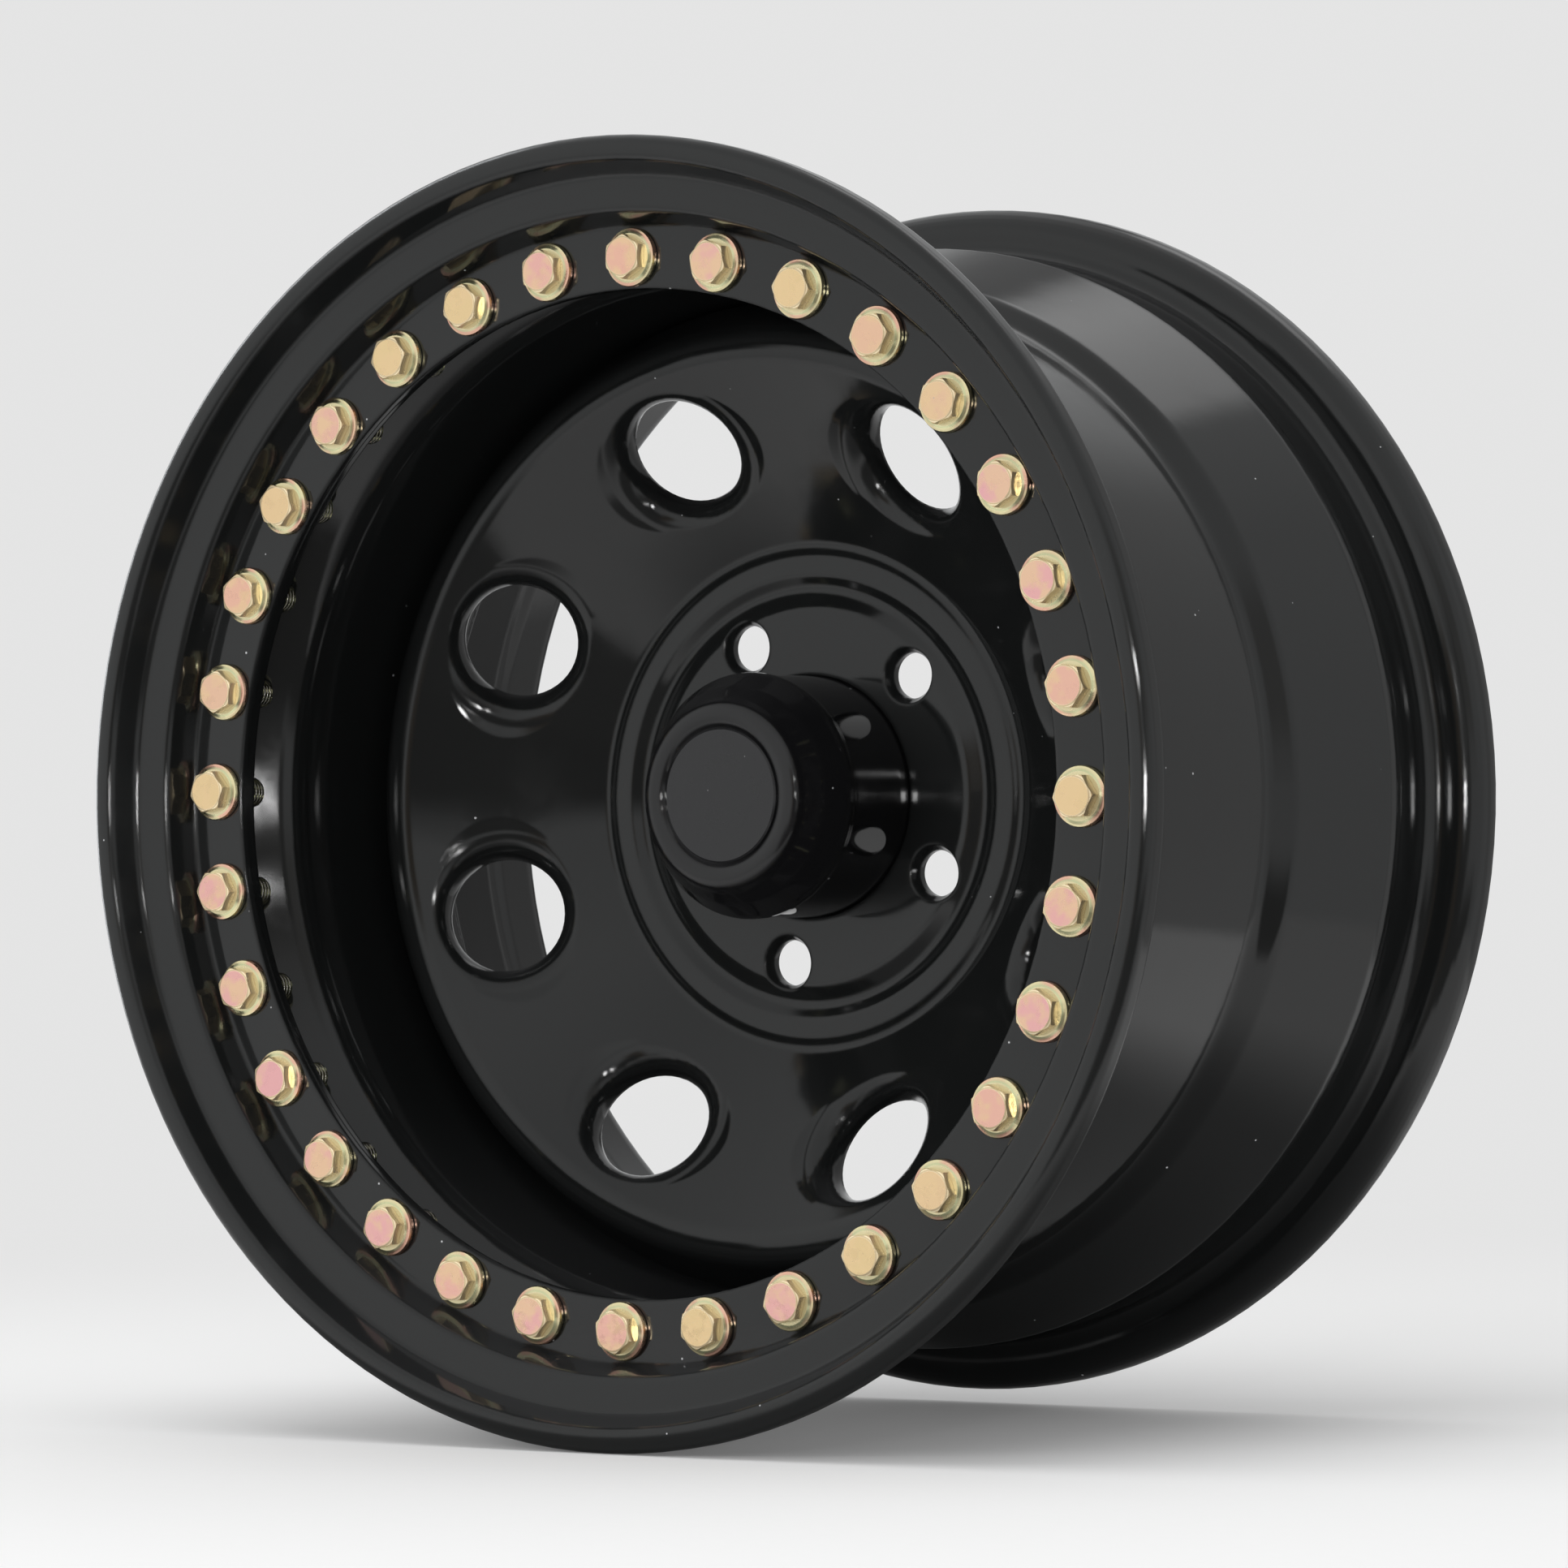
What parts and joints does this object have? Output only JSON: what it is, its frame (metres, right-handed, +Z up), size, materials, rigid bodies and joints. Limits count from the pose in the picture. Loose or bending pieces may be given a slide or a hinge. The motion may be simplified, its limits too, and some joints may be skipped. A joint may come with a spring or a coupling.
{
  "type": "beadlock wheel",
  "caption": "Steel off-road wheel: rolled barrel, pressed disc with flared holes, and an outer clamp ring bolted on to lock the tyre's bead.",
  "frame": {"origin": "centre of the hub mounting face, which is the back of the disc's flat pad", "axes": "+Y along the wheel's axis towards the vehicle, so the clamp ring faces -Y; +Z up"},
  "size_m": [0.4249, 0.2299, 0.425],
  "materials": {
    "black_paint": "gloss",
    "zinc_bolts": "satin",
    "painted_weld": "gloss",
    "cap_gloss": "gloss",
    "cap_satin": "satin"
  },
  "bodies": {
    "root": {"rim_barrel": "black_paint", "wheel_disc": "black_paint", "mount_ring": "black_paint", "clamp_ring": "black_paint", "ring_bolts": "zinc_bolts", "ring_weld": "painted_weld", "disc_welds": "painted_weld", "centre_cap": "cap_gloss", "cap_plate": "cap_satin"}
  },
  "joints": []
}
